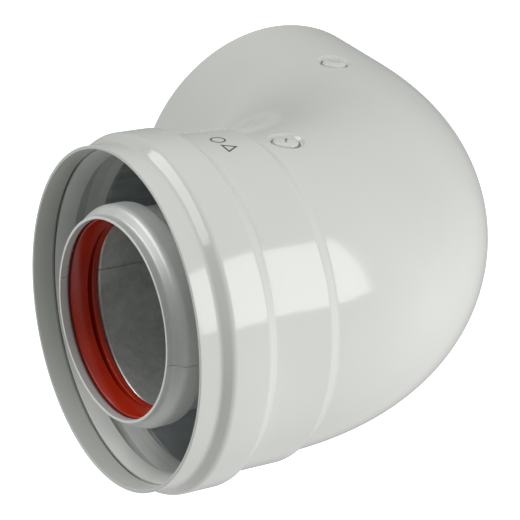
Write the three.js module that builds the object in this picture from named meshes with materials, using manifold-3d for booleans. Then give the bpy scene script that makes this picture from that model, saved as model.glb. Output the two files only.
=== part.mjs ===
// Concentric 60/100 flue elbow, 90 degrees, built in millimetres with +Z up.
// The two leg axes lie in the plane z = 0 and cross at the corner point. The socket mouth faces -X and the
// spigot mouth faces +Y. The finished group is moved so that its box stands centred on the ground plane.
import * as THREE from 'three';
import { mergeVertices } from 'three/addons/utils/BufferGeometryUtils.js';
import Module from 'manifold-3d';

// Layout of the two legs
const SOCKET_LEG = 109.4;      // corner to socket mouth
const SPIGOT_LEG = 89.1;       // corner to spigot mouth
const FIT_GAP = 0.3;           // clearance between pieces that touch

// Casing: the outer, air-side elbow
const CASING_RADIUS = 50;
const CASING_WALL = 1;
const CASING_BEND = 62.9;      // bend radius of the centreline
const CASING_SIDES = 48;
const CASING_BEND_STEPS = 12;
const CASING_SOCKET_WALL = 1.4;

// Inner elbow: the flue-side elbow, welded from two pressed half shells
const FLUE_RADIUS = 30;
const FLUE_WALL = 0.8;
const FLUE_SOCKET_WALL = 1;
const FLUE_SOCKET_END = 38.6;  // where the formed socket has run into the plain tube
const FLUE_BEND = 55;
const FLUE_FALL = THREE.MathUtils.degToRad(2.4);   // its socket leg leans this far off the casing axis
const FLUE_SIDES = 32;
const FLUE_BEND_STEPS = 8;
const SEAM_GAP = 0.3;
const TUBE_OVERLAP = 0.5;      // straight and bent tube run into each other by this much
const SKIN_STEP = 0.02;        // the bent tube stands this far off the straight one, so no faces coincide

// Screws and the spacer brackets behind them
const SCREW_FROM_CORNER = 53.2;
const SCREW_HEAD_RADIUS = 3.9;
const SCREW_HEAD_UNDER = 48.8;
const SCREW_HEAD_EDGE = 49.5;
const SCREW_HEAD_TOP = 50;
const SCREW_SHANK_RADIUS = 1.9;
const SCREW_TIP = 43;
const SLOT_LENGTH = 3.6;
const SLOT_WIDTH = 0.75;
const SLOT_DEPTH = 0.65;
const HOLE_RADIUS = 2.3;
const POCKET_RADIUS = 4.35;
const POCKET_FLOOR = 48.5;
const DISH_RADIUS = 6.2;
const DISH_FLOOR = 48.95;
const PAD_RADIUS = 7;
const PAD_UNDER = 47.3;
const PAD_TOP = 49.2;

const BRACKET_WIDTH = 12;
const BRACKET_THICK = 1.2;
const BRACKET_HALF_TOP = 6.5;
const BRACKET_HALF_FOOT = 13;

const CASING_PAINT = { color: 0xd9dcd4, roughness: 0.25, metalness: 0 };
const FLUE_METAL = { color: 0xa9ada9, roughness: 0.35, metalness: 0.6 };
const GREY_RUBBER = { color: 0x8f9590, roughness: 0.6, metalness: 0 };
const RED_RUBBER = { color: 0xb02a14, roughness: 0.4, metalness: 0 };
const SPRING_STEEL = { color: 0x9a9d9f, roughness: 0.4, metalness: 0.8 };

const wasm = await Module();
wasm.setup();

function toSolid(geometry) {
  const bare = geometry.clone();
  bare.deleteAttribute('normal');
  bare.deleteAttribute('uv');
  const merged = mergeVertices(bare, 1e-4);
  return new wasm.Manifold(new wasm.Mesh({
    numProp: 3,
    vertProperties: new Float32Array(merged.attributes.position.array),
    triVerts: new Uint32Array(merged.index.array),
  }));
}

function toGeometry(solid) {
  const mesh = solid.getMesh();
  const geometry = new THREE.BufferGeometry();
  geometry.setAttribute('position', new THREE.BufferAttribute(mesh.vertProperties, 3));
  geometry.setIndex(new THREE.BufferAttribute(mesh.triVerts, 1));
  geometry.computeVertexNormals();
  return geometry;
}

function namedMesh(name, geometry, look) {
  const mesh = new THREE.Mesh(geometry, new THREE.MeshStandardMaterial(look));
  mesh.name = name;
  return mesh;
}

// A closed ring turned about the X axis from [distance along X, radius] points, given once round the section.
function turnedRing(points, sides) {
  const section = [...points, points[0]].map(([along, radius]) => new THREE.Vector2(radius, along));
  return new THREE.LatheGeometry(section, sides).rotateZ(-Math.PI / 2);
}

// A solid turned about the Z axis from [radius, height] points that start and end on the axis.
function turnedPin(points, sides) {
  return new THREE.LatheGeometry(points.map(([radius, height]) => new THREE.Vector2(radius, height)), sides)
    .rotateX(Math.PI / 2);
}

// Outer and inner lines of a formed sheet, as one closed section: stations are [distance, outer radius].
function sheetSection(stations, wall) {
  const inner = stations.map(([along, radius]) => [along, radius - wall]).reverse();
  return [...stations, ...inner];
}

// Smooth step of a formed sheet between two radii.
function joggle(from, to, radiusFrom, radiusTo, steps) {
  return Array.from({ length: steps + 1 }, (_, i) => {
    const t = i / steps;
    const blend = (1 - Math.cos(Math.PI * t)) / 2;
    return [from + (to - from) * t, radiusFrom + (radiusTo - radiusFrom) * blend];
  });
}

// Centreline of a bend that starts along +X at the given point and turns towards +Y, then runs straight.
class BendPath extends THREE.Curve {
  constructor(start, heading, radius, turn, straight, steps) {
    super();
    Object.assign(this, { start, heading, radius, turn, straight, steps });
  }

  station(u) {
    const step = u * (this.steps + 1);
    const swept = Math.min(step / this.steps, 1) * this.turn;
    const run = Math.max(step - this.steps, 0) * this.straight;
    return { swept, run };
  }

  getPointAt(u, target = new THREE.Vector3()) {
    const { swept, run } = this.station(u);
    const local = new THREE.Vector3(this.radius * Math.sin(swept), this.radius * (1 - Math.cos(swept)), 0);
    local.add(new THREE.Vector3(Math.cos(swept), Math.sin(swept), 0).multiplyScalar(run));
    return target.copy(local.applyAxisAngle(new THREE.Vector3(0, 0, 1), this.heading).add(this.start));
  }

  getTangentAt(u, target = new THREE.Vector3()) {
    const angle = this.heading + this.station(u).swept;
    return target.set(Math.cos(angle), Math.sin(angle), 0);
  }
}

function bentTube(path, radius, wall, sides) {
  const section = new THREE.Shape();
  section.absarc(0, 0, radius, 0, 2 * Math.PI, false);
  const bore = new THREE.Path();
  bore.absarc(0, 0, radius - wall, 0, 2 * Math.PI, true);
  section.holes.push(bore);
  // A full circle is split into twice as many sides as curveSegments.
  return new THREE.ExtrudeGeometry(section, {
    steps: path.steps + 1,
    curveSegments: sides / 2,
    extrudePath: path,
  });
}

// The four screw places: above and below the centreline, near both ends of the bend.
const screwAngle = Math.asin((CASING_BEND - SCREW_FROM_CORNER) / CASING_BEND);
const screwShift = CASING_BEND * (1 - Math.cos(screwAngle));
const nearSocket = { x: -SCREW_FROM_CORNER, y: screwShift, turn: screwAngle };
const nearSpigot = { x: -screwShift, y: SCREW_FROM_CORNER, turn: Math.PI / 2 - screwAngle };
const SCREW_PLACES = [
  { name: 'socket_top', ...nearSocket, up: 1, slot: 0.98 },
  { name: 'spigot_top', ...nearSpigot, up: 1, slot: -0.6 },
  { name: 'socket_underside', ...nearSocket, up: -1, slot: 0.4 },
  { name: 'spigot_underside', ...nearSpigot, up: -1, slot: 1.3 },
];

// Carries a shape made about the +Z axis at the origin to a screw place.
function atPlace(geometry, place) {
  if (place.up < 0) geometry.rotateX(Math.PI);
  return geometry.translate(place.x, place.y, 0);
}

function casingSocket() {
  const stations = [
    [0, 52.1],
    ...joggle(6.5, 9.5, 52.1, 54.8, 4),
    ...joggle(21.8, 25, 54.8, 52, 4),
    ...joggle(44.5, 46.6, 52, 50.2, 3),
    [47, 50.2],
  ].map(([along, radius]) => [along - SOCKET_LEG, radius]);
  return turnedRing(sheetSection(stations, CASING_SOCKET_WALL), CASING_SIDES);
}

function casing() {
  const tubeStart = SOCKET_LEG - CASING_BEND;
  const path = new BendPath(new THREE.Vector3(tubeStart - SOCKET_LEG, 0, 0), 0, CASING_BEND, Math.PI / 2,
    SPIGOT_LEG - CASING_BEND, CASING_BEND_STEPS);
  let shell = toSolid(casingSocket()).add(toSolid(bentTube(path, CASING_RADIUS, CASING_WALL, CASING_SIDES)));
  for (const place of SCREW_PLACES) {
    const pad = [[0, PAD_UNDER], [PAD_RADIUS, PAD_UNDER], [PAD_RADIUS, PAD_TOP], [0, PAD_TOP]];
    const sink = [
      [0, PAD_UNDER - 1], [HOLE_RADIUS, PAD_UNDER - 1], [HOLE_RADIUS, POCKET_FLOOR],
      [POCKET_RADIUS, POCKET_FLOOR], [POCKET_RADIUS, DISH_FLOOR],
      [DISH_RADIUS, CASING_RADIUS + 0.1], [DISH_RADIUS, CASING_RADIUS + 2], [0, CASING_RADIUS + 2],
    ];
    shell = shell.add(toSolid(atPlace(turnedPin(pad, 20), place)));
    shell = shell.subtract(toSolid(atPlace(turnedPin(sink, 20), place)));
  }
  return toGeometry(shell);
}

// The inner elbow as one shape, before it is parted at the weld seam.
function flueElbow() {
  const corner = SOCKET_LEG * Math.tan(FLUE_FALL);
  const legLength = SOCKET_LEG / Math.cos(FLUE_FALL);
  const turn = Math.PI / 2 - FLUE_FALL;
  const tangent = FLUE_BEND * Math.tan(turn / 2);
  const stations = [
    [0, 31.2],
    [1.8, 31.2],
    ...joggle(2, 4.2, 31.2, 34, 3),
    ...joggle(11.6, 13.8, 34, 31.3, 3),
    ...joggle(36, 38, 31.3, 30.2, 2),
    [FLUE_SOCKET_END, 30.2],
  ];
  const socket = turnedRing(sheetSection(stations, FLUE_SOCKET_WALL), FLUE_SIDES);
  socket.rotateZ(FLUE_FALL).translate(-SOCKET_LEG, 0, 0);
  const tubeStart = FLUE_SOCKET_END - 0.4;
  const tubeEnd = legLength - tangent + TUBE_OVERLAP;
  const tube = [[tubeStart, FLUE_RADIUS], [tubeEnd, FLUE_RADIUS]];
  const straight = turnedRing(sheetSection(tube, FLUE_WALL), FLUE_SIDES);
  const along = new THREE.Vector3(Math.cos(FLUE_FALL), Math.sin(FLUE_FALL), 0);
  const bendStart = new THREE.Vector3(-SOCKET_LEG, 0, 0).addScaledVector(along, legLength - tangent);
  const spigotRun = SPIGOT_LEG - corner - tangent;
  const path = new BendPath(bendStart, FLUE_FALL, FLUE_BEND, turn, spigotRun, FLUE_BEND_STEPS);
  return { socket, straight, path };
}

// One pressed half of the inner elbow: up is 1 for the upper half, -1 for the lower.
function flueHalf(up) {
  const { socket, straight, path } = flueElbow();
  const run = straight.rotateZ(FLUE_FALL).translate(-SOCKET_LEG, 0, 0);
  const bend = bentTube(path, FLUE_RADIUS + SKIN_STEP, FLUE_WALL + 2 * SKIN_STEP, FLUE_SIDES);
  const whole = toSolid(socket).add(toSolid(run)).add(toSolid(bend));
  const block = new THREE.BoxGeometry(400, 400, 100).translate(0, 0, up * (50 + SEAM_GAP / 2));
  return toGeometry(whole.intersect(toSolid(block)));
}

// Double-lip ring seal in the casing socket: the back sits in the chamber and both lips lean inwards.
function casingSeal() {
  const section = [
    [10.2, 53], [21.4, 53], [20.4, 50.6], [19.8, 48.6], [13.2, 50.4], [12.6, 48.6], [7.6, 50.3],
  ].map(([along, radius]) => [along - SOCKET_LEG, radius]);
  return turnedRing(section, CASING_SIDES);
}

// Double-lip silicone seal in the inner socket.
function flueSeal() {
  const section = [
    [4.6, 32.6], [11.3, 32.6], [11.6, 30], [11.3, 28.3], [9.2, 29.6], [8.6, 28.4], [3.6, 30.1],
  ];
  return turnedRing(section, FLUE_SIDES).rotateZ(FLUE_FALL).translate(-SOCKET_LEG, 0, 0);
}

function screw(place) {
  const outline = [
    [0, SCREW_TIP], [SCREW_SHANK_RADIUS - 0.5, SCREW_TIP], [SCREW_SHANK_RADIUS, SCREW_TIP + 0.8],
    [SCREW_SHANK_RADIUS, SCREW_HEAD_UNDER], [SCREW_HEAD_RADIUS, SCREW_HEAD_UNDER],
    [SCREW_HEAD_RADIUS, SCREW_HEAD_EDGE], [SCREW_HEAD_RADIUS - 0.9, SCREW_HEAD_TOP - 0.1],
    [0, SCREW_HEAD_TOP],
  ];
  const slot = new THREE.BoxGeometry(SLOT_LENGTH, SLOT_WIDTH, 2 * SLOT_DEPTH)
    .rotateZ(place.slot)
    .translate(0, 0, SCREW_HEAD_TOP);
  const solid = toSolid(turnedPin(outline, 20)).subtract(toSolid(slot));
  return atPlace(toGeometry(solid), place);
}

// Hat-shaped spacer strip: its top is held by the screw and its two feet stand on the inner elbow.
function bracket(place) {
  const top = PAD_UNDER - FIT_GAP;
  const foot = FLUE_RADIUS + FIT_GAP + 0.05;
  const profile = new THREE.Shape([
    [-BRACKET_HALF_FOOT, foot], [-BRACKET_HALF_TOP + BRACKET_THICK, foot],
    [-BRACKET_HALF_TOP + BRACKET_THICK, top - BRACKET_THICK],
    [BRACKET_HALF_TOP - BRACKET_THICK, top - BRACKET_THICK], [BRACKET_HALF_TOP - BRACKET_THICK, foot],
    [BRACKET_HALF_FOOT, foot], [BRACKET_HALF_FOOT, foot + BRACKET_THICK],
    [BRACKET_HALF_TOP, foot + BRACKET_THICK], [BRACKET_HALF_TOP, top],
    [-BRACKET_HALF_TOP, top], [-BRACKET_HALF_TOP, foot + BRACKET_THICK],
    [-BRACKET_HALF_FOOT, foot + BRACKET_THICK],
  ].map(([along, height]) => new THREE.Vector2(along, height)));
  const strip = new THREE.ExtrudeGeometry(profile, { depth: BRACKET_WIDTH, bevelEnabled: false })
    .translate(0, 0, -BRACKET_WIDTH / 2)
    .rotateX(Math.PI / 2);
  const hole = [[0, top - 3], [HOLE_RADIUS, top - 3], [HOLE_RADIUS, top + 1], [0, top + 1]];
  const solid = toSolid(strip).subtract(toSolid(turnedPin(hole, 16)));
  const geometry = toGeometry(solid).rotateZ(place.up * place.turn);
  return atPlace(geometry, place);
}

const elbow = new THREE.Group();
elbow.name = 'flue_elbow';
elbow.add(namedMesh('outer_elbow', casing(), CASING_PAINT));
elbow.add(namedMesh('outer_socket_seal', casingSeal(), GREY_RUBBER));
elbow.add(namedMesh('inner_elbow_upper_half', flueHalf(1), FLUE_METAL));
elbow.add(namedMesh('inner_elbow_lower_half', flueHalf(-1), FLUE_METAL));
elbow.add(namedMesh('inner_socket_seal', flueSeal(), RED_RUBBER));
for (const place of SCREW_PLACES) {
  elbow.add(namedMesh(`screw_${place.name}`, screw(place), CASING_PAINT));
  elbow.add(namedMesh(`spacer_${place.name}`, bracket(place), SPRING_STEEL));
}

// Stand the group with its box centred on the origin and resting on the ground plane.
const box = new THREE.Box3().setFromObject(elbow);
const centre = box.getCenter(new THREE.Vector3());
elbow.position.set(-centre.x, -centre.y, -box.min.z);
elbow.updateMatrixWorld(true);

export default elbow;
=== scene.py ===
"""Looks of the concentric 60/100 mm flue elbow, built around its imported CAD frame.

Shapes are laid out in millimetres from the corner point, where the two leg axes cross: the socket mouth
faces -X, the spigot mouth faces +Y and the plane of the bend is level.
"""

import math

import bmesh
import bpy
from mathutils import Matrix, Vector


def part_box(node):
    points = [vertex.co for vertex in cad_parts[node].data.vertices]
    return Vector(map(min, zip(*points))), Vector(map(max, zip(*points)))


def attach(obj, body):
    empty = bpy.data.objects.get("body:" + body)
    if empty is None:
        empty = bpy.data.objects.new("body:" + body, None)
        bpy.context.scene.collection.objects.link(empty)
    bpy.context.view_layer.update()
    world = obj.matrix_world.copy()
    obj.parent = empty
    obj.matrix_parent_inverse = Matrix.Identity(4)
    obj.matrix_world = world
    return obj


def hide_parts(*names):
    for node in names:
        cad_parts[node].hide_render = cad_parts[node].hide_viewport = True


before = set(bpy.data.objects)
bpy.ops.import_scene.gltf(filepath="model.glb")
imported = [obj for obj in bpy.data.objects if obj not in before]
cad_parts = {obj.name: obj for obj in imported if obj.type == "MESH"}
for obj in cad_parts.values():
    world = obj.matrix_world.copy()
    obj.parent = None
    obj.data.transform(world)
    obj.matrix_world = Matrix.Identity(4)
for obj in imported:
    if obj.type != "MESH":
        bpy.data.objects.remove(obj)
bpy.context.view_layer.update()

MM = 0.001
SOCKET_LEG = 109.4          # corner to socket mouth
SPIGOT_LEG = 89.1           # corner to spigot mouth
CASING_BEND = 62.9          # centreline bend radius of the casing
CASING_RADIUS = 50.0
CASING_WALL = 1.1
CASING_SIDES = 180
FLUE_BEND = 55.0
FLUE_RADIUS = 30.0
FLUE_WALL = 0.9
FLUE_FALL = math.radians(2.4)   # lean of the inner socket leg off the casing axis
FLUE_HALF_SIDES = 72
SEAM_GAP = 0.1
SCREW_FROM_CORNER = 53.2
SIDE_STEP_DEG = 1.5         # bend angle between two rings of a bent tube

casing_low, casing_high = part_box("outer_elbow")
CORNER = Vector((
    casing_high.x - CASING_RADIUS * MM,
    casing_high.y - SPIGOT_LEG * MM,
    (casing_low.z + casing_high.z) / 2,
))


def place(x, y, z):
    """A point given in millimetres from the corner, in the scene's metres."""
    return CORNER + Vector((x, y, z)) * MM


# ---------------------------------------------------------------- outlines


def filleted(points):
    """Rounds the corners of an open outline. Each point is (distance, radius, fillet, segments)."""
    rows = []
    for i, (along, radius, fillet, segments) in enumerate(points):
        here = Vector((along, radius))
        if fillet == 0 or i in (0, len(points) - 1):
            rows.append(here)
            continue
        before = Vector(points[i - 1][:2]) - here
        after = Vector(points[i + 1][:2]) - here
        turn = before.angle(after)
        reach = fillet / math.tan(turn / 2)
        reach = min(reach, before.length * 0.49, after.length * 0.49)
        round_radius = reach * math.tan(turn / 2)
        start = here + before.normalized() * reach
        end = here + after.normalized() * reach
        middle = (before.normalized() + after.normalized()).normalized()
        centre = here + middle * (round_radius / math.sin(turn / 2))
        from_centre = start - centre
        to_centre = end - centre
        sweep = from_centre.angle_signed(to_centre)
        for k in range(segments + 1):
            arm = from_centre.copy()
            arm.rotate(Matrix.Rotation(-sweep * k / segments, 2))
            rows.append(centre + arm)
    return rows


class Route:
    """Centreline of an elbow: a straight socket leg, one bend, and a straight spigot leg."""

    def __init__(self, start, heading, socket_run, bend_radius, turn, spigot_run):
        self.start = Vector(start)
        self.heading = heading
        self.socket_run = socket_run
        self.bend_radius = bend_radius
        self.turn = turn
        self.bend_run = bend_radius * turn
        self.length = socket_run + self.bend_run + spigot_run

    def at(self, along):
        """Centre point and heading angle at a distance from the socket mouth."""
        straight = min(along, self.socket_run)
        swept = min(max(along - self.socket_run, 0), self.bend_run) / self.bend_radius
        tail = max(along - self.socket_run - self.bend_run, 0)
        local = Vector((
            straight + self.bend_radius * math.sin(swept) + tail * math.cos(swept),
            self.bend_radius * (1 - math.cos(swept)) + tail * math.sin(swept),
            0,
        ))
        local.rotate(Matrix.Rotation(self.heading, 3, "Z"))
        return self.start + local, self.heading + swept

    def ring_point(self, along, radius, around):
        centre, heading = self.at(along)
        side = Vector((math.sin(heading), -math.cos(heading), 0))
        return centre + side * (radius * math.cos(around)) + Vector((0, 0, radius * math.sin(around)))

    def bend_stations(self):
        """Distances that divide the bend finely enough to look round."""
        count = round(math.degrees(self.turn) / SIDE_STEP_DEG)
        return [self.socket_run + self.bend_run * k / count for k in range(count + 1)]


CASING_ROUTE = Route((-SOCKET_LEG, 0, 0), 0, SOCKET_LEG - CASING_BEND, CASING_BEND, math.pi / 2,
                     SPIGOT_LEG - CASING_BEND)
flue_turn = math.pi / 2 - FLUE_FALL
flue_tangent = FLUE_BEND * math.tan(flue_turn / 2)
FLUE_ROUTE = Route((-SOCKET_LEG, 0, 0), FLUE_FALL, SOCKET_LEG / math.cos(FLUE_FALL) - flue_tangent, FLUE_BEND,
                   flue_turn, SPIGOT_LEG - SOCKET_LEG * math.tan(FLUE_FALL) - flue_tangent)


# ---------------------------------------------------------------- mesh helpers


def new_object(name, bm, material):
    """Turns a bmesh in corner millimetres into a smooth-shaded object of the elbow."""
    bmesh.ops.recalc_face_normals(bm, faces=bm.faces)
    mesh = bpy.data.meshes.new(name)
    bm.to_mesh(mesh)
    bm.free()
    mesh.transform(Matrix.Translation(CORNER) @ Matrix.Scale(MM, 4))
    mesh.shade_smooth()
    mesh.materials.append(material)
    piece = bpy.data.objects.new(name, mesh)
    bpy.context.scene.collection.objects.link(piece)
    return piece


def sharpen(piece, angle_deg):
    """Keeps edges steeper than the angle crisp under smooth shading."""
    bm = bmesh.new()
    bm.from_mesh(piece.data)
    limit = math.radians(angle_deg)
    for edge in bm.edges:
        edge.smooth = len(edge.link_faces) != 2 or edge.calc_face_angle(0) < limit
    bm.to_mesh(piece.data)
    bm.free()


def swept_ring(bm, route, section, sides, look=lambda i: 0):
    """Turns a closed section of (distance, radius) rows right round the route.

    look gives the material slot of each row's faces.
    """
    grid = [
        [bm.verts.new(route.ring_point(along, radius, 2 * math.pi * k / sides)) for k in range(sides)]
        for along, radius in section
    ]
    for i, row in enumerate(grid):
        following = grid[(i + 1) % len(grid)]
        for k in range(sides):
            face = bm.faces.new((row[k], row[(k + 1) % sides], following[(k + 1) % sides], following[k]))
            face.material_index = look(i)


INSIDE_LOOK, OUTSIDE_LOOK, EDGE_HIGHLIGHT_LOOK = range(3)     # material slots of a half shell
BRIGHT_RIM = 5.0            # the smooth outside finish runs this far into the inner socket


def swept_half(bm, route, outside, inside, up, sides):
    """Half of a tube on one side of the bend plane: outside and inside are paired (distance, radius) rows."""
    def row(along, radius):
        points = []
        for k in range(sides + 1):
            point = route.ring_point(along, radius, up * math.pi * k / sides)
            if k in (0, sides):
                point.z = up * SEAM_GAP / 2
            points.append(bm.verts.new(point))
        return points

    outer = [row(*station) for station in outside]
    inner = [row(*station) for station in inside]
    for skin, deep_look in ((outer, OUTSIDE_LOOK), (inner, INSIDE_LOOK)):
        for i in range(len(skin) - 1):
            look = deep_look if inside[i][0] > BRIGHT_RIM else OUTSIDE_LOOK
            for k in range(sides):
                face = bm.faces.new((skin[i][k], skin[i][k + 1], skin[i + 1][k + 1], skin[i + 1][k]))
                face.material_index = look
    # end faces take the trimmed-edge finish, which is bare metal plus a painted highlight
    for i in (0, len(outer) - 1):
        for k in range(sides):
            face = bm.faces.new((outer[i][k], outer[i][k + 1], inner[i][k + 1], inner[i][k]))
            face.material_index = EDGE_HIGHLIGHT_LOOK
    for i in range(len(outer) - 1):
        for k in (0, sides):
            bm.faces.new((outer[i][k], outer[i + 1][k], inner[i + 1][k], inner[i][k]))


def turned(bm, profile, sides):
    """Turns a profile of (radius, height) rows about the vertical axis. A zero radius closes to one point."""
    rings = []
    for radius, height in profile:
        if radius == 0:
            rings.append([bm.verts.new((0, 0, height))] * sides)
            continue
        rings.append([
            bm.verts.new((
                radius * math.cos(2 * math.pi * k / sides),
                radius * math.sin(2 * math.pi * k / sides),
                height,
            ))
            for k in range(sides)
        ])
    for lower, upper in zip(rings, rings[1:]):
        for k in range(sides):
            corners = (lower[k], lower[(k + 1) % sides], upper[(k + 1) % sides], upper[k])
            distinct = list(dict.fromkeys(corners))
            if len(distinct) > 2:
                bm.faces.new(distinct)


# ---------------------------------------------------------------- materials


class Nodes:
    """Short way to add and join shader nodes of one material."""

    def __init__(self, name):
        self.material = bpy.data.materials.new(name)
        self.material.use_nodes = True
        self.tree = self.material.node_tree
        self.shader = self.tree.nodes["Principled BSDF"]

    def add(self, kind, **settings):
        node = self.tree.nodes.new(kind)
        for key, value in settings.items():
            if key in node.inputs:
                node.inputs[key].default_value = value
            else:
                setattr(node, key, value)
        return node

    def join(self, source, target):
        self.tree.links.new(source, target)

    def position(self, scale=(1, 1, 1)):
        """Object coordinates, stretched along the axes."""
        coordinates = self.add("ShaderNodeTexCoord")
        mapping = self.add("ShaderNodeMapping")
        mapping.inputs["Scale"].default_value = scale
        self.join(coordinates.outputs["Object"], mapping.inputs["Vector"])
        return mapping.outputs["Vector"]

    def noise(self, vector, scale, detail=3.0, roughness=0.5):
        node = self.add("ShaderNodeTexNoise")
        node.inputs["Scale"].default_value = scale
        node.inputs["Detail"].default_value = detail
        node.inputs["Roughness"].default_value = roughness
        self.join(vector, node.inputs["Vector"])
        return node.outputs["Fac"]

    def ramp(self, value, stops):
        node = self.add("ShaderNodeValToRGB")
        elements = node.color_ramp.elements
        while len(elements) < len(stops):
            elements.new(0.5)
        for element, (position, color) in zip(elements, stops):
            element.position = position
            element.color = (*color, 1)
        self.join(value, node.inputs["Fac"])
        return node.outputs["Color"]

    def span(self, value, low, high):
        node = self.add("ShaderNodeMapRange")
        node.inputs["To Min"].default_value = low
        node.inputs["To Max"].default_value = high
        self.join(value, node.inputs["Value"])
        return node.outputs["Result"]

    def bump(self, height, strength, distance, after=None):
        node = self.add("ShaderNodeBump")
        node.inputs["Strength"].default_value = strength
        node.inputs["Distance"].default_value = distance
        self.join(height, node.inputs["Height"])
        if after is not None:
            self.join(after, node.inputs["Normal"])
        return node.outputs["Normal"]

    def set(self, **values):
        for key, value in values.items():
            self.shader.inputs[key.replace("_", " ")].default_value = value


def casing_paint():
    """Gloss white powder coat with a faint grey-green cast, orange peel and a few dust nibs."""
    nodes = Nodes("casing_paint")
    spot = nodes.position()
    cloud = nodes.noise(spot, 22, 3)
    tint = nodes.ramp(cloud, [(0.3, (0.655, 0.675, 0.63)), (0.7, (0.685, 0.70, 0.66))])
    nib = nodes.add("ShaderNodeTexVoronoi")
    nib.inputs["Scale"].default_value = 26
    nodes.join(spot, nib.inputs["Vector"])
    clean = nodes.ramp(nib.outputs["Distance"], [(0.005, (0.45, 0.44, 0.42)), (0.011, (1, 1, 1))])
    speckled = nodes.add("ShaderNodeMix", data_type="RGBA", blend_type="MULTIPLY")
    speckled.inputs["Factor"].default_value = 1
    nodes.join(tint, speckled.inputs["A"])
    nodes.join(clean, speckled.inputs["B"])
    nodes.join(speckled.outputs["Result"], nodes.shader.inputs["Base Color"])
    wave = nodes.bump(nodes.noise(spot, 75, 1, 0.3), 0.7, 0.00028)
    peel = nodes.bump(nodes.noise(spot, 600, 2, 0.4), 0.12, 0.00012, wave)
    nodes.join(peel, nodes.shader.inputs["Normal"])
    patchy = nodes.noise(spot, 60, 3)
    nodes.join(nodes.span(patchy, 0.10, 0.17), nodes.shader.inputs["Roughness"])
    nodes.set(Coat_Weight=0.3, Coat_Roughness=0.04, IOR=1.5)
    return nodes.material


def casing_inside():
    """Bare aluminium sheet inside the casing: dull, blue-grey, with drawing streaks."""
    nodes = Nodes("casing_inside")
    spot = nodes.position((1, 1, 6))
    cloud = nodes.noise(spot, 40, 5, 0.6)
    tint = nodes.ramp(cloud, [(0.3, (0.44, 0.475, 0.49)), (0.7, (0.72, 0.76, 0.77))])
    nodes.join(tint, nodes.shader.inputs["Base Color"])
    nodes.join(nodes.span(cloud, 0.5, 0.7), nodes.shader.inputs["Roughness"])
    nodes.join(nodes.bump(nodes.noise(spot, 900, 3, 0.7), 0.3, 0.0002), nodes.shader.inputs["Normal"])
    nodes.set(Metallic=0.55)
    return nodes.material


def flue_metal():
    """Pressed aluminium of the inner elbow: satin, finely mottled."""
    nodes = Nodes("flue_metal")
    spot = nodes.position()
    grain = nodes.noise(spot, 1300, 3, 0.7)
    cloud = nodes.noise(spot, 260, 6, 0.85)
    tint = nodes.ramp(cloud, [(0.32, (0.56, 0.595, 0.575)), (0.68, (0.82, 0.855, 0.83))])
    nodes.join(tint, nodes.shader.inputs["Base Color"])
    nodes.join(nodes.span(grain, 0.26, 0.38), nodes.shader.inputs["Roughness"])
    nodes.join(nodes.bump(grain, 0.25, 0.00012), nodes.shader.inputs["Normal"])
    nodes.set(Metallic=0.65)
    return nodes.material


def flue_skin():
    """Outside of the inner elbow: smooth satin aluminium, light grey."""
    nodes = Nodes("flue_skin")
    spot = nodes.position()
    cloud = nodes.noise(spot, 90, 4, 0.6)
    tint = nodes.ramp(cloud, [(0.3, (0.68, 0.70, 0.68)), (0.7, (0.74, 0.76, 0.74))])
    nodes.join(tint, nodes.shader.inputs["Base Color"])
    nodes.join(nodes.span(cloud, 0.36, 0.44), nodes.shader.inputs["Roughness"])
    nodes.set(Metallic=0.3)
    return nodes.material


def grey_rubber():
    nodes = Nodes("grey_rubber")
    spot = nodes.position()
    cloud = nodes.noise(spot, 70, 3)
    tint = nodes.ramp(cloud, [(0.3, (0.74, 0.75, 0.72)), (0.7, (0.80, 0.81, 0.78))])
    nodes.join(tint, nodes.shader.inputs["Base Color"])
    nodes.join(nodes.span(cloud, 0.38, 0.5), nodes.shader.inputs["Roughness"])
    nodes.join(nodes.bump(nodes.noise(spot, 1500, 2), 0.05, 0.0002), nodes.shader.inputs["Normal"])
    return nodes.material


def red_silicone():
    nodes = Nodes("red_silicone")
    spot = nodes.position()
    cloud = nodes.noise(spot, 80, 3)
    tint = nodes.ramp(cloud, [(0.3, (0.40, 0.015, 0.002)), (0.7, (0.48, 0.025, 0.004))])
    nodes.join(tint, nodes.shader.inputs["Base Color"])
    nodes.join(nodes.span(cloud, 0.18, 0.26), nodes.shader.inputs["Roughness"])
    nodes.join(nodes.bump(nodes.noise(spot, 1200, 2), 0.05, 0.0002), nodes.shader.inputs["Normal"])
    return nodes.material


def spacer_steel():
    nodes = Nodes("spacer_steel")
    spot = nodes.position((1, 1, 8))
    streak = nodes.noise(spot, 300, 4, 0.6)
    tint = nodes.ramp(streak, [(0.3, (0.5, 0.51, 0.52)), (0.7, (0.66, 0.67, 0.68))])
    nodes.join(tint, nodes.shader.inputs["Base Color"])
    nodes.join(nodes.span(streak, 0.3, 0.5), nodes.shader.inputs["Roughness"])
    nodes.set(Metallic=1.0)
    return nodes.material


def trimmed_edge_painted_highlight():
    """Trimmed edge of the inner socket: bare cut metal, lightened further as a painted highlight along the
    rim.
    """
    nodes = Nodes("trimmed_edge_painted_highlight")
    spot = nodes.position()
    fleck = nodes.noise(spot, 400, 4, 0.6)
    # light tint: the bare cut metal's own colour plus a painted highlight along the rim
    tint = nodes.ramp(fleck, [(0.3, (0.80, 0.81, 0.79)), (0.7, (0.90, 0.91, 0.89))])
    nodes.join(tint, nodes.shader.inputs["Base Color"])
    nodes.join(nodes.span(fleck, 0.3, 0.5), nodes.shader.inputs["Roughness"])
    nodes.set(Metallic=0.2)
    return nodes.material


def marking_ink():
    """Thin dark pad print."""
    nodes = Nodes("marking_ink")
    spot = nodes.position()
    wear = nodes.noise(spot, 900, 4, 0.6)
    tint = nodes.ramp(wear, [(0.35, (0.075, 0.072, 0.066)), (0.75, (0.16, 0.155, 0.145))])
    nodes.join(tint, nodes.shader.inputs["Base Color"])
    nodes.join(nodes.span(wear, 0.35, 0.55), nodes.shader.inputs["Roughness"])
    return nodes.material


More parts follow.
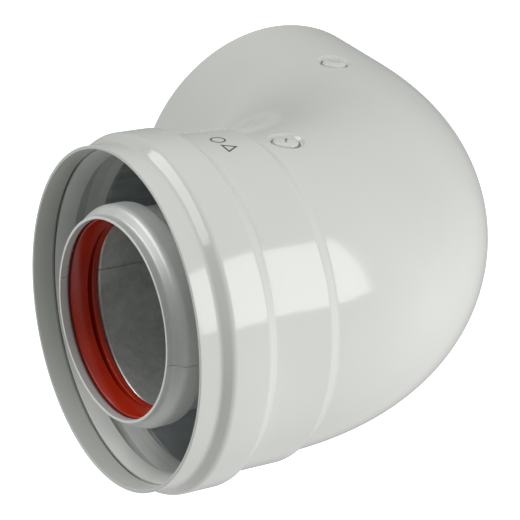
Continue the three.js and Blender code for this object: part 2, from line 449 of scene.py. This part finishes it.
def floor_paper():
    nodes = Nodes("floor_paper")
    spot = nodes.position()
    tint = nodes.ramp(nodes.noise(spot, 3, 2), [(0.3, (0.93, 0.93, 0.93)), (0.7, (0.95, 0.95, 0.95))])
    nodes.join(tint, nodes.shader.inputs["Base Color"])
    nodes.set(Roughness=0.9, Emission_Color=(1, 1, 1, 1), Emission_Strength=0.75, Specular_IOR_Level=0.1)
    return nodes.material


PAINT = casing_paint()
BARE = casing_inside()
FLUE = flue_metal()
GREY = grey_rubber()
RED = red_silicone()
STEEL = spacer_steel()
FLUE_SKIN = flue_skin()
# trimmed-edge finish: bare cut metal, partly a painted highlight
EDGE_PAINTED_HIGHLIGHT = trimmed_edge_painted_highlight()
INK = marking_ink()


# ---------------------------------------------------------------- casing

CASING_OUTSIDE = [
    (0, 51.55, 0, 0),
    (0, 52.1, 0.35, 4),
    (6.6, 52.1, 2.2, 8),
    (9.5, 54.8, 2.8, 10),
    (21.6, 54.8, 3.2, 8),
    (24.9, 52.0, 1.0, 6),
    (44.2, 52.0, 3.0, 8),
    (47.1, 50.0, 1.6, 6),
]
CASING_INSIDE = [
    (0, 51.55, 0, 0),
    (0, 51.0, 0.35, 4),
    (6.6, 51.0, 0.6, 6),
    (9.6, 53.7, 1.2, 8),
    (21.3, 53.7, 1.6, 8),
    (24.5, 50.9, 1.4, 5),
    (44.0, 50.9, 1.2, 7),
    (46.5, 48.9, 1.2, 4),
]


SOCKET_END = 48.0           # where the formed socket has run into the plain tube
SPIGOT_STEPS = 8
SPIGOT_ROUNDING = 0.35


def casing_section(outline, radius):
    """Socket outline, rings round the bend, then the rounded spigot edge to the middle of the wall."""
    end = CASING_ROUTE.length
    middle = CASING_RADIUS - CASING_WALL / 2
    rows = [tuple(p) for p in filleted([*outline, (SOCKET_END, radius, 0, 0)])]
    rows += [(along, radius) for along in CASING_ROUTE.bend_stations() if along > SOCKET_END + 1]
    last = rows[-1][0]
    rows += [(last + (end - 0.5 - last) * k / SPIGOT_STEPS, radius) for k in range(1, SPIGOT_STEPS)]
    edge = filleted([(end - 1, radius, 0, 0), (end, radius, SPIGOT_ROUNDING, 4), (end, middle, 0, 0)])
    return rows + [tuple(p) for p in edge]


def screw_places():
    """(name, x, y, heading, up, slot angle) of each screw: on the centreline near both ends of the bend."""
    swept = math.asin((CASING_BEND - SCREW_FROM_CORNER) / CASING_BEND)
    shift = CASING_BEND * (1 - math.cos(swept))
    far = math.pi / 2 - swept
    return [
        ("socket_top", -SCREW_FROM_CORNER, shift, swept, 1, 0.98),
        ("spigot_top", -shift, SCREW_FROM_CORNER, far, 1, -0.6),
        ("socket_underside", -SCREW_FROM_CORNER, shift, swept, -1, 0.4),
        ("spigot_underside", -shift, SCREW_FROM_CORNER, far, -1, 1.3),
    ]


def distance_from_centreline(x, y):
    """Level distance from a point to the casing's centreline."""
    centre = Vector((-CASING_BEND, CASING_BEND))
    point = Vector((x, y))
    if x < -CASING_BEND:
        return abs(y)
    if y > CASING_BEND:
        return abs(x)
    return abs((point - centre).length - CASING_BEND)


def skin_height(x, y, radius):
    """Height of a tube skin of that radius above the bend plane."""
    return math.sqrt(radius ** 2 - distance_from_centreline(x, y) ** 2)


def smooth(t):
    t = min(max(t, 0), 1)
    return t * t * (3 - 2 * t)


PAINT_EDGE = 14.0           # how far the paint reaches into the socket
DISH_RING = 7.4
PAD_RING = 9.0
RECESS_SIDES = 64
DISH_DEPTH = 1.1
INNER_SKIN = CASING_RADIUS - CASING_WALL
SKIN_TOLERANCE = 0.004      # a point this close to a skin's radius lies on the plain skin
BEND_MARGIN = 0.6           # true normals start this far into the bend
DISH_RADII = (DISH_RING, 6.6, *(6.15 - 0.2 * k for k in range(9)), 4.3)
# (radius, height) from the pocket's rim over its floor and down the screw hole
POCKET_ROWS = ((4.2, 48.62), (4.05, 48.58), (2.4, 48.58), (2.3, 48.5), (2.3, 47.5))
# (radius, height) under the pocket, out to the edge of the flat pad
UNDERSIDE_ROWS = ((2.4, 47.4), (6.2, 47.4), (6.9, 47.5))
# (radius, share of the way from the pad to the inner skin)
PAD_ROWS = ((7.4, 0.25), (8.0, 0.6), (8.5, 0.85), (PAD_RING, 1))
PAD_BLEND_HEIGHT = 47.6


def recess_height(x, y, radius):
    """Outer skin around a screw: a soft dish that runs into a flat-bottomed pocket."""
    depth = DISH_DEPTH * smooth((6.0 - radius) / 1.7)
    return skin_height(x, y, CASING_RADIUS) - depth


def add_recess(bm, x, y, up):
    """Cuts both skins around a screw and joins them by the dish, pocket, screw hole and pad."""
    def near(face, ring):
        middle = face.calc_center_median()
        return (Vector((middle.x - x, middle.y - y)).length < ring + 1.2) and middle.z * up > 0

    loops = {}
    for skin, ring in (("outer", DISH_RING), ("inner", PAD_RING)):
        faces = []
        for face in bm.faces:
            if near(face, ring):
                middle = face.calc_center_median()
                radius = math.hypot(distance_from_centreline(middle.x, middle.y), middle.z)
                if (radius > CASING_RADIUS - CASING_WALL / 2) == (skin == "outer"):
                    faces.append(face)
        region = set(faces)
        loops[skin] = [e for f in faces for e in f.edges if len(set(e.link_faces) - region) == 1]
        bmesh.ops.delete(bm, geom=faces, context="FACES_ONLY")
        loops[skin] = [e for e in set(loops[skin]) if e.is_valid]
    bmesh.ops.delete(bm, geom=[e for e in bm.edges if not e.link_faces], context="EDGES")
    bmesh.ops.delete(bm, geom=[v for v in bm.verts if not v.link_edges], context="VERTS")

    def ring_at(radius, height):
        ring = []
        for k in range(RECESS_SIDES):
            px = x + radius * math.cos(2 * math.pi * k / RECESS_SIDES)
            py = y + radius * math.sin(2 * math.pi * k / RECESS_SIDES)
            ring.append(bm.verts.new((px, py, up * height(px, py))))
        return ring

    def pad_height(px, py, t):
        return PAD_BLEND_HEIGHT + (skin_height(px, py, INNER_SKIN) - PAD_BLEND_HEIGHT) * smooth(t)

    dish = [ring_at(r, lambda px, py, r=r: recess_height(px, py, r)) for r in DISH_RADII]
    pocket = [ring_at(r, lambda px, py, h=h: h) for r, h in POCKET_ROWS]
    underside = [ring_at(r, lambda px, py, h=h: h) for r, h in UNDERSIDE_ROWS]
    pad = [ring_at(r, lambda px, py, t=t: pad_height(px, py, t)) for r, t in PAD_ROWS]
    rings = dish + pocket + underside + pad
    for i, (a, b) in enumerate(zip(rings, rings[1:])):
        for k in range(RECESS_SIDES):
            face = bm.faces.new((a[k], a[(k + 1) % RECESS_SIDES], b[(k + 1) % RECESS_SIDES], b[k]))
            face.material_index = int(i >= len(dish) + len(pocket))
    for skin, ring in (("outer", rings[0]), ("inner", rings[-1])):
        circle = [bm.edges.get((ring[k], ring[(k + 1) % RECESS_SIDES])) for k in range(RECESS_SIDES)]
        filled = bmesh.ops.triangle_fill(bm, edges=loops[skin] + circle, use_beauty=True, normal=(0, 0, up))
        for element in filled["geom"]:
            if skin == "inner" and isinstance(element, bmesh.types.BMFace):
                element.material_index = 1


def casing_normals(mesh):
    """True surface normals for the plain skins, so the patches round the screws don't show in reflections."""
    normals = []
    for vertex in mesh.vertices:
        local = (vertex.co - CORNER) / MM
        x, y, z = local
        normal = Vector((0, 0, 0))
        in_bend_or_spigot = x > -CASING_BEND + BEND_MARGIN or y > CASING_BEND
        if in_bend_or_spigot:
            offset = distance_from_centreline(x, y)
            radius = math.hypot(offset, z)
            if min(abs(radius - CASING_RADIUS), abs(radius - INNER_SKIN)) < SKIN_TOLERANCE:
                centre = Vector((-CASING_BEND, CASING_BEND))
                arm = Vector((x, y)) - centre
                if y > CASING_BEND:
                    foot = Vector((0, y))
                else:
                    foot = centre + arm.normalized() * CASING_BEND
                normal = (Vector((x, y, z)) - Vector((foot.x, foot.y, 0))).normalized()
                if radius < CASING_RADIUS - CASING_WALL / 2:
                    normal = -normal
        normals.append(normal)
    return normals


def build_casing():
    bm = bmesh.new()
    outside = casing_section(CASING_OUTSIDE, CASING_RADIUS)
    inside = casing_section(CASING_INSIDE, INNER_SKIN)
    section = outside + inside[1:-1][::-1]

    def bare_inside(i):
        return int(i >= len(outside) and PAINT_EDGE < section[i][0] < CASING_ROUTE.length - 1)

    swept_ring(bm, CASING_ROUTE, section, CASING_SIDES, bare_inside)
    for _, x, y, _, up, _ in screw_places():
        add_recess(bm, x, y, up)
    casing = new_object("outer_elbow_body", bm, PAINT)
    casing.data.materials.append(BARE)
    casing.data.normals_split_custom_set_from_vertices(casing_normals(casing.data))
    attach(casing, "root")
    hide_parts("outer_elbow")


# ---------------------------------------------------------------- inner elbow and seals

FLUE_OUTSIDE = [
    (0, 31.2, 0.3, 3),
    (2.3, 31.2, 1.3, 7),
    (4.6, 34.0, 3.0, 10),
    (11.6, 34.0, 3.0, 9),
    (13.8, 31.3, 1.4, 6),
    (36.0, 31.3, 1.2, 4),
    (38.0, 30.0, 0.6, 4),
    (39.0, 30.0, 0, 0),
]


def flue_rows(offset):
    """Rows of the inner elbow's skin, moved in from the outside by the given amount of wall."""
    shrunk = [(along + 0.25 * offset, radius - offset, fillet, segments)
              for along, radius, fillet, segments in FLUE_OUTSIDE[1:]]
    start = [(0, FLUE_OUTSIDE[0][1] - offset, 0, 0)]
    rows = [tuple(p) for p in filleted(start + shrunk)]
    radius = FLUE_RADIUS - offset
    run = FLUE_ROUTE.socket_run
    rows += [(rows[-1][0] + (run - rows[-1][0]) * k / 6, radius) for k in range(1, 6)]
    rows += [(along, radius) for along in FLUE_ROUTE.bend_stations()]
    bend_end = rows[-1][0]
    rows += [(bend_end + (FLUE_ROUTE.length - bend_end) * k / 8, radius) for k in range(1, 9)]
    return rows


def build_flue_half(up, node):
    bm = bmesh.new()
    swept_half(bm, FLUE_ROUTE, flue_rows(0), flue_rows(FLUE_WALL), up, FLUE_HALF_SIDES)
    half = new_object(node + "_shell", bm, FLUE)
    half.data.materials.append(FLUE_SKIN)
    half.data.materials.append(EDGE_PAINTED_HIGHLIGHT)
    sharpen(half, 50)
    bevel = half.modifiers.new("edge_round", "BEVEL")
    bevel.width = 0.15 * MM
    bevel.segments = 2
    bevel.limit_method = "ANGLE"
    bevel.angle_limit = math.radians(50)
    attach(half, "root")
    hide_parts(node)


def ring_seal(name, route, outline, sides, material, node):
    """A seal turned about the socket axis from a closed outline of (distance, radius, fillet, segments)."""
    closed = [outline[-1], *outline, outline[0]]
    rows = [tuple(p) for p in filleted(closed)][1:-1]
    bm = bmesh.new()
    swept_ring(bm, route, rows, sides)
    seal = new_object(name, bm, material)
    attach(seal, "root")
    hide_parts(node)


CASING_SEAL = [
    (9.6, 53.2, 0.4, 3),
    (21.1, 53.2, 0.4, 3),
    (21.6, 51.9, 0.3, 3),
    (22.1, 50.6, 0.3, 3),
    (22.9, 48.7, 0.25, 4),
    (20.6, 51.2, 0.5, 4),
    (17.6, 52.6, 0.5, 3),
    (12.4, 52.2, 0.5, 3),
    (12.0, 50.4, 0.3, 3),
    (13.0, 48.5, 0.25, 4),
    (7.4, 50.7, 0.5, 4),
    (8.0, 52.0, 0.4, 3),
]
FLUE_SEAL = [
    (4.6, 32.8, 0.3, 3),
    (11.2, 32.8, 0.3, 3),
    (12.4, 31.6, 0.3, 3),
    (11.6, 30.0, 0.3, 3),
    (12.4, 28.6, 0.2, 4),
    (10.6, 29.2, 0.3, 3),
    (10.0, 30.9, 0.4, 4),
    (8.7, 30.9, 0.4, 4),
    (8.1, 29.8, 0.2, 3),
    (8.9, 28.2, 0.2, 4),
    (3.4, 30.1, 0.4, 4),
    (4.0, 31.4, 0.3, 3),
]


# ---------------------------------------------------------------- screws and spacers


SCREW_PROFILE = (           # (radius, height) from the tip up to the middle of the head
    (0, 43.0), (1.3, 43.0), (1.9, 43.8), (1.9, 48.7), (3.7, 48.7), (3.85, 48.8), (3.9, 49.0), (3.87, 49.3),
    (3.76, 49.5), (3.55, 49.66), (3.2, 49.78), (2.4, 49.9), (1.2, 49.98), (0, 50.0),
)
SCREW_SIDES = 48
SCREW_EDGE = 0.18
SLOT_CUTTER = (3.6, 0.75, 1.6)      # length and width of the slot, and height of the block that cuts it
SLOT_CUTTER_MIDDLE = 50.1
SPACER_CROWN = 47.0
SPACER_FOOT = 30.4
SPACER_THICK = 1.2
SPACER_WIDTH = 12.0
SPACER_HALF_TOP = 6.2
SPACER_HALF_FOOT = 13.0
SPACER_FILLET = 1.6
SPACER_COLUMNS = (-SPACER_WIDTH / 2, -2, 0, 2, SPACER_WIDTH / 2)


def helper_object(name, bm):
    """A plain object for a modifier, still in corner millimetres."""
    mesh = bpy.data.meshes.new(name)
    bm.to_mesh(mesh)
    bm.free()
    helper = bpy.data.objects.new(name, mesh)
    bpy.context.scene.collection.objects.link(helper)
    return helper


def stand(bm, x, y, heading, up):
    """Puts a piece made above the corner in its place, above or below the bend plane."""
    if up < 0:
        bmesh.ops.rotate(bm, matrix=Matrix.Rotation(math.pi, 3, "X"), verts=bm.verts)
    bmesh.ops.rotate(bm, matrix=Matrix.Rotation(heading, 3, "Z"), verts=bm.verts)
    bmesh.ops.translate(bm, vec=(x, y, 0), verts=bm.verts)


def slot_cutter(angle):
    bm = bmesh.new()
    bmesh.ops.create_cube(bm, size=1)
    bmesh.ops.scale(bm, vec=SLOT_CUTTER, verts=bm.verts)
    bmesh.ops.translate(bm, vec=(0, 0, SLOT_CUTTER_MIDDLE), verts=bm.verts)
    bmesh.ops.rotate(bm, matrix=Matrix.Rotation(angle, 3, "Z"), verts=bm.verts)
    return helper_object("slot_cutter", bm)


def build_screw(name, x, y, up, slot_angle):
    """Painted-over slotted screw: shank, flat underside and a low domed head with a worn slot."""
    bm = bmesh.new()
    turned(bm, SCREW_PROFILE, SCREW_SIDES)
    bmesh.ops.recalc_face_normals(bm, faces=bm.faces)
    blank = helper_object("screw_blank", bm)
    cutter = slot_cutter(slot_angle)
    slot = blank.modifiers.new("slot", "BOOLEAN")
    slot.object = cutter
    slot.operation = "DIFFERENCE"
    slot.solver = "EXACT"
    bevel = blank.modifiers.new("soft_edges", "BEVEL")
    bevel.width = SCREW_EDGE
    bevel.segments = 3
    bevel.limit_method = "ANGLE"
    bevel.angle_limit = math.radians(40)
    bpy.context.view_layer.update()
    done = bmesh.new()
    done.from_object(blank, bpy.context.evaluated_depsgraph_get())
    for helper in (blank, cutter):
        bpy.data.objects.remove(helper)
    stand(done, x, y, 0, up)
    screw = new_object("painted_screw_" + name, done, PAINT)
    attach(screw, "root")
    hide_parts("screw_" + name)


def spacer_line():
    """Middle line of the hat-shaped strip, as (across, height) points."""
    foot = SPACER_FOOT + SPACER_THICK / 2
    crown = SPACER_CROWN - SPACER_THICK / 2
    return filleted([
        (-SPACER_HALF_FOOT, foot, 0, 0),
        (-SPACER_HALF_TOP, foot, SPACER_FILLET, 6),
        (-SPACER_HALF_TOP, crown, SPACER_FILLET, 6),
        (SPACER_HALF_TOP, crown, SPACER_FILLET, 6),
        (SPACER_HALF_TOP, foot, SPACER_FILLET, 6),
        (SPACER_HALF_FOOT, foot, 0, 0),
    ])


def build_spacer(name, x, y, heading, up):
    """Hat-shaped strip with rounded bends, the screw through its crown."""
    rows = spacer_line()
    bm = bmesh.new()
    above, below = [], []
    for i, row in enumerate(rows):
        ahead = rows[min(i + 1, len(rows) - 1)] - rows[max(i - 1, 0)]
        normal = Vector((-ahead.y, ahead.x)).normalized() * SPACER_THICK / 2
        for store, side in ((above, 1), (below, -1)):
            edge = row + normal * side
            store.append([bm.verts.new((edge.x, across, edge.y)) for across in SPACER_COLUMNS])
    for store in (above, below):
        for a, b in zip(store, store[1:]):
            for k in range(4):
                bm.faces.new((a[k], a[k + 1], b[k + 1], b[k]))
    for i in (0, len(rows) - 1):
        for k in range(4):
            bm.faces.new((above[i][k], above[i][k + 1], below[i][k + 1], below[i][k]))
    for i in range(len(rows) - 1):
        for k in (0, 4):
            bm.faces.new((above[i][k], above[i + 1][k], below[i + 1][k], below[i][k]))
    stand(bm, x, y, heading, up)
    spacer = new_object("spacer_strip_" + name, bm, STEEL)
    sharpen(spacer, 40)
    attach(spacer, "root")
    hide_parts("spacer_" + name)


# ---------------------------------------------------------------- print

MARK_ALONG = 33.8           # millimetres behind the socket rim
MARK_SKIN = 52.0
INK_THICKNESS = 0.04
INK_SINK = 0.02             # how far the print reaches into the paint


def outline_mark(bm, around_deg, corners, size, stroke):
    """A thin raised outline of a regular polygon printed on the socket."""
    steps = 8 if corners < 6 else 1
    count = corners * steps

    def flat_point(reach, k):
        first, part = divmod(k, steps)
        ends = [
            Vector((reach * math.cos(2 * math.pi * c / corners), reach * math.sin(2 * math.pi * c / corners)))
            for c in (first, first + 1)
        ]
        return ends[0].lerp(ends[1], part / steps)

    rings = []
    narrow = size - stroke / math.cos(math.pi / corners)
    for reach, height in (
        (size, -INK_SINK), (size, INK_THICKNESS), (narrow, INK_THICKNESS), (narrow, -INK_SINK),
    ):
        ring = []
        for k in range(count):
            point = flat_point(reach, k)
            around = math.radians(around_deg) + point.y / MARK_SKIN
            place_on_skin = CASING_ROUTE.ring_point(MARK_ALONG + point.x, MARK_SKIN + height, around)
            ring.append(bm.verts.new(place_on_skin))
        rings.append(ring)
    for i in range(4):
        a, b = rings[i], rings[(i + 1) % 4]
        for k in range(count):
            bm.faces.new((a[k], a[(k + 1) % count], b[(k + 1) % count], b[k]))


def build_marking():
    """Two plain symbols where the maker prints a mark."""
    bm = bmesh.new()
    outline_mark(bm, 87.0, 3, 3.0, 0.55)
    outline_mark(bm, 94.0, 28, 2.4, 0.5)
    marking = new_object("socket_marking", bm, INK)
    sharpen(marking, 40)
    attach(marking, "root")


# ---------------------------------------------------------------- studio


def build_floor():
    """Large pale sheet under the elbow."""
    bm = bmesh.new()
    bmesh.ops.create_grid(bm, x_segments=24, y_segments=24, size=6.0)
    mesh = bpy.data.meshes.new("studio_floor")
    bm.to_mesh(mesh)
    bm.free()
    mesh.materials.append(floor_paper())
    floor = bpy.data.objects.new("studio_floor", mesh)
    bpy.context.scene.collection.objects.link(floor)
    floor.location.z = -0.0002
    floor.visible_glossy = False
    floor.visible_diffuse = False
    floor.visible_shadow = False


def add_softbox(name, location, size, power, target=(0, 0, 0.05)):
    """Rectangular area light that faces the elbow."""
    light = bpy.data.lights.new(name, "AREA")
    light.shape = "RECTANGLE"
    light.size, light.size_y = size
    light.energy = power
    lamp = bpy.data.objects.new(name, light)
    bpy.context.scene.collection.objects.link(lamp)
    lamp.location = location
    lamp.rotation_euler = (Vector(target) - Vector(location)).to_track_quat("-Z", "Y").to_euler()


# Studio walls: (direction, how far along it the change starts and ends, factor on the strength there)
WORLD_ZONES = (
    ((-0.87, -0.48, 0.1), 0.3, 0.95, 0.12),
    ((0.45, -0.89, 0.05), 0.15, 0.92, 1.65),
    ((0.42, 0.88, -0.2), 0.6, 0.99, 0.5),
)
STRENGTH_BELOW = 0.72
STRENGTH_ABOVE = 0.43


def add_world():
    world = bpy.data.worlds.new("studio")
    bpy.context.scene.world = world
    world.use_nodes = True
    tree = world.node_tree
    background = tree.nodes["Background"]
    background.inputs["Color"].default_value = (1, 1, 1, 1)
    direction = tree.nodes.new("ShaderNodeTexCoord").outputs["Generated"]

    def falloff(axis, low, high, low_value, high_value):
        """Strength between two values by how far a direction lies along an axis."""
        along = tree.nodes.new("ShaderNodeVectorMath")
        along.operation = "DOT_PRODUCT"
        along.inputs[1].default_value = axis
        tree.links.new(direction, along.inputs[0])
        span = tree.nodes.new("ShaderNodeMapRange")
        span.interpolation_type = "SMOOTHSTEP"
        span.inputs["From Min"].default_value = low
        span.inputs["From Max"].default_value = high
        span.inputs["To Min"].default_value = low_value
        span.inputs["To Max"].default_value = high_value
        tree.links.new(along.outputs["Value"], span.inputs["Value"])
        return span.outputs["Result"]

    strength = falloff((0, 0, 1), -0.3, 0.6, STRENGTH_BELOW, STRENGTH_ABOVE)
    for axis, low, high, change in WORLD_ZONES:
        product = tree.nodes.new("ShaderNodeMath")
        product.operation = "MULTIPLY"
        tree.links.new(strength, product.inputs[0])
        tree.links.new(falloff(axis, low, high, 1.0, change), product.inputs[1])
        strength = product.outputs["Value"]
    tree.links.new(strength, background.inputs["Strength"])


CAMERA_PLACE = (-392.83, -486.08, 291.05)     # millimetres from the corner
CAMERA_YAW = math.radians(34.52)
CAMERA_DIP = math.radians(25.38)
CAMERA_ROLL = math.radians(6.15)
FOCAL_WIDTHS = 4.10525                        # focal length in picture widths

SENSOR_WIDTH = 36                             # millimetres


def add_camera():
    data = bpy.data.cameras.new("camera")
    data.sensor_width = SENSOR_WIDTH
    data.lens = SENSOR_WIDTH * FOCAL_WIDTHS
    data.clip_start = 0.01
    camera = bpy.data.objects.new("camera", data)
    bpy.context.scene.collection.objects.link(camera)
    ahead = Vector((math.sin(CAMERA_YAW) * math.cos(CAMERA_DIP),
                    math.cos(CAMERA_YAW) * math.cos(CAMERA_DIP), -math.sin(CAMERA_DIP)))
    level = ahead.cross(Vector((0, 0, 1))).normalized()
    above = level.cross(ahead)
    right = level * math.cos(CAMERA_ROLL) + above * math.sin(CAMERA_ROLL)
    up = above * math.cos(CAMERA_ROLL) - level * math.sin(CAMERA_ROLL)
    turn = Matrix((right, up, -ahead)).transposed()
    camera.matrix_world = Matrix.Translation(place(*CAMERA_PLACE)) @ turn.to_4x4()
    bpy.context.scene.camera = camera


build_casing()
build_flue_half(1, "inner_elbow_upper_half")
build_flue_half(-1, "inner_elbow_lower_half")
ring_seal("outer_seal_ring", CASING_ROUTE, CASING_SEAL, 144, GREY, "outer_socket_seal")
ring_seal("inner_seal_ring", FLUE_ROUTE, FLUE_SEAL, 120, RED, "inner_socket_seal")
for screw_name, screw_x, screw_y, screw_heading, screw_up, screw_slot in screw_places():
    build_screw(screw_name, screw_x, screw_y, screw_up, screw_slot)
    build_spacer(screw_name, screw_x, screw_y, screw_heading, screw_up)
build_marking()
build_floor()
add_world()
add_softbox("window", (0.575, -0.996, 0.685), (0.70, 0.84), 6.3)
add_softbox("back_light", (-0.87, 0.41, 1.10), (1.65, 0.5), 9.5)
add_camera()
bpy.context.scene.view_settings.view_transform = "Standard"
